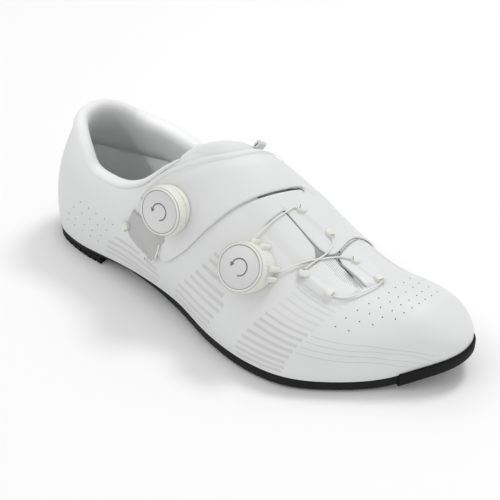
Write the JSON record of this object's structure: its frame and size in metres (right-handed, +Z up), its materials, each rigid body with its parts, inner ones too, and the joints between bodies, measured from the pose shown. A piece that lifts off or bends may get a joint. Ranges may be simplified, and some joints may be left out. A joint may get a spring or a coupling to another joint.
{
  "type": "cycling shoe",
  "caption": "White road cycling shoe for the right foot with lace dials, a wrap-over instep strap, a padded collar and a stiff black sole.",
  "frame": {"origin": "middle of a lug face of the heel pad, on the floor", "axes": "+X from heel to toe, +Y to the medial side (the inner side of a right foot), +Z up"},
  "size_m": [0.2901, 0.104, 0.1127],
  "materials": {
    "white_synthetic": "satin",
    "padded_lining": "matt",
    "black_sole": "satin",
    "black_rubber": "matt",
    "ivory_guide": "satin",
    "dial_grey": "satin",
    "white_cable": "satin"
  },
  "bodies": {
    "root": {"collar": "padded_lining", "front_dial_base": "ivory_guide", "front_dial_knob": "dial_grey", "heel_pad": "black_rubber", "insole": "padded_lining", "instep_strap": "white_synthetic", "lace_cross": "white_cable", "lace_front": "white_cable", "lace_guide_a": "ivory_guide", "lace_guide_b": "ivory_guide", "lace_guide_c": "ivory_guide", "lace_guide_d": "ivory_guide", "lace_guide_e": "ivory_guide", "lace_guide_f": "ivory_guide", "lace_rear": "white_cable", "lace_top": "white_cable", "lateral_overlay": "white_synthetic", "loop_tab": "padded_lining", "medial_flap": "white_synthetic", "medial_overlay": "white_synthetic", "outsole": "black_sole", "rear_dial_base": "ivory_guide", "rear_dial_bracket": "dial_grey", "rear_dial_knob": "dial_grey", "rear_guide_1": "ivory_guide", "rear_guide_2": "ivory_guide", "toe_bumper": "black_rubber", "tongue": "padded_lining", "upper": "white_synthetic", "vamp_overlay": "white_synthetic"}
  },
  "joints": []
}
